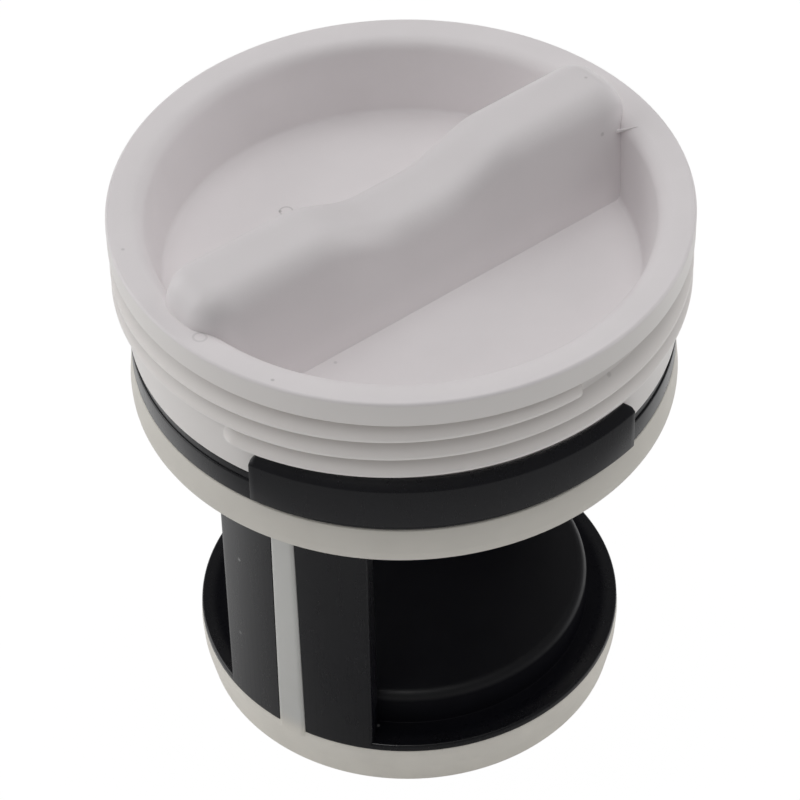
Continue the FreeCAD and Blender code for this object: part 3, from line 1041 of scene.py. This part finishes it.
class FILTER_OT_stage(bpy.types.Operator):
    """Sets up the camera, the white floor and the soft lamps"""

    bl_idname = "filter.stage"
    bl_label = "Stage"

    def execute(self, context):
        stage = context.scene.filter_stage
        self.add_camera(context, stage)
        self.add_floor(context, stage)
        for name, place, size, power, mirrored, lighting in LAMPS:
            self.add_lamp(context, name, place, size, getattr(stage, power), mirrored, lighting)
        self.set_world(context, stage)
        context.scene.view_settings.view_transform = "Standard"
        return {"FINISHED"}

    def add_camera(self, context, stage):
        """Camera at the photograph's angle, rolled about its own axis."""
        data = bpy.data.cameras.new("camera")
        data.lens = stage.lens
        data.sensor_width = SENSOR_WIDTH
        data.clip_start = CLIP_START
        data.clip_end = CLIP_END
        camera = bpy.data.objects.new("camera", data)
        context.scene.collection.objects.link(camera)
        target = Vector((stage.target_side, 0.0, stage.target_height))
        back = Vector((0.0, -math.cos(stage.elevation), math.sin(stage.elevation)))
        facing = (-back).to_track_quat("-Z", "Y").to_matrix().to_4x4()
        roll = Matrix.Rotation(stage.roll, 4, "Z")
        camera.matrix_world = Matrix.Translation(target + back * stage.distance) @ facing @ roll
        context.scene.camera = camera

    def add_floor(self, context, stage):
        """White floor with a faint shadow, and other tones for its light and reflection."""
        bm = bmesh.new()
        bmesh.ops.create_grid(bm, x_segments=1, y_segments=1, size=stage.floor_size / 2)
        floor = make_object("floor", bm)
        graph = Graph(bpy.data.materials.new("floor_white"))
        path = "ShaderNodeLightPath"
        diffuse = "ShaderNodeBsdfDiffuse"
        tones = (stage.floor_tone, stage.mirror_front, stage.floor_shade)
        lit, front, shaded = [graph.node(diffuse, {}, {"Color": rgba(WHITE, tone)}) for tone in tones]
        back = graph.node("ShaderNodeEmission", {}, {"Color": WHITE, "Strength": stage.mirror_back})
        across, ahead, _ = graph.split(graph.node("ShaderNodeTexCoord", output="Object"))
        backward = ahead - across * stage.mirror_slant
        mirrored = graph.blend(backward.ramp(stage.mirror_start, stage.mirror_end), front, back)
        glow = graph.node("ShaderNodeEmission", {}, {"Color": WHITE, "Strength": stage.floor_light})
        seen = graph.blend(stage.floor_white, shaded, glow)
        glowing = graph.blend(stage.floor_glow, lit, glow)
        unseen = graph.blend(graph.node(path, output="Is Glossy Ray"), glowing, mirrored)
        final = graph.blend(graph.node(path, output="Is Camera Ray"), unseen, seen)
        graph.node("ShaderNodeOutputMaterial", {}, {"Surface": final})
        floor.data.materials.append(graph.owner)

    def add_lamp(self, context, name, place, size, power, mirrored, lighting):
        """Square soft lamp that faces the part."""
        data = bpy.data.lights.new(name, "AREA")
        data.shape = "SQUARE"
        data.size = size
        data.energy = power
        lamp = bpy.data.objects.new(name, data)
        context.scene.collection.objects.link(lamp)
        lamp.visible_glossy = mirrored
        lamp.visible_diffuse = lighting
        facing = (LAMP_AIM - Vector(place)).to_track_quat("-Z", "Y").to_matrix().to_4x4()
        lamp.matrix_world = Matrix.Translation(Vector(place)) @ facing

    def set_world(self, context, stage):
        """Even white surroundings: white where the camera sees them, softer as light."""
        graph = Graph(bpy.data.worlds.new("studio"))
        path = "ShaderNodeLightPath"
        light = stage.sky + (stage.sky_mirror - stage.sky) * graph.node(path, output="Is Glossy Ray")
        values = {0: graph.node(path, output="Is Camera Ray"), 1: light}
        strength = graph.node("ShaderNodeMath", {"operation": "MAXIMUM"}, values)
        background = graph.node("ShaderNodeBackground", {}, {"Color": WHITE, "Strength": strength})
        graph.node("ShaderNodeOutputWorld", {}, {"Surface": background})
        context.scene.world = graph.owner


class FILTER_PT_panel(bpy.types.Panel):
    """Lists the steps that build the pump filter"""

    bl_idname = "FILTER_PT_panel"
    bl_label = "Pump filter"
    bl_space_type = "VIEW_3D"
    bl_region_type = "UI"
    bl_category = "Pump filter"

    def draw(self, context):
        for operator in OPERATORS:
            self.layout.operator(operator.bl_idname)


GROUPS = {
    "filter_cap": CapSizes,
    "filter_grip": GripSizes,
    "filter_thread": ThreadSizes,
    "filter_insert": InsertSizes,
    "filter_seal": SealSizes,
    "filter_finishes": Finishes,
    "filter_stage": StageSizes,
}
OPERATORS = (FILTER_OT_screw_cap, FILTER_OT_filter_insert, FILTER_OT_seal, FILTER_OT_stage)


def register():
    for name, group in GROUPS.items():
        bpy.utils.register_class(group)
        setattr(bpy.types.Scene, name, bpy.props.PointerProperty(type=group))
    for operator in OPERATORS:
        bpy.utils.register_class(operator)
    bpy.utils.register_class(FILTER_PT_panel)


def unregister():
    bpy.utils.unregister_class(FILTER_PT_panel)
    for operator in reversed(OPERATORS):
        bpy.utils.unregister_class(operator)
    for name, group in reversed(GROUPS.items()):
        delattr(bpy.types.Scene, name)
        bpy.utils.unregister_class(group)


def main():
    register()
    bpy.ops.filter.screw_cap()
    bpy.ops.filter.filter_insert()
    bpy.ops.filter.seal()
    bpy.ops.filter.stage()


if __name__ == "__main__":
    main()
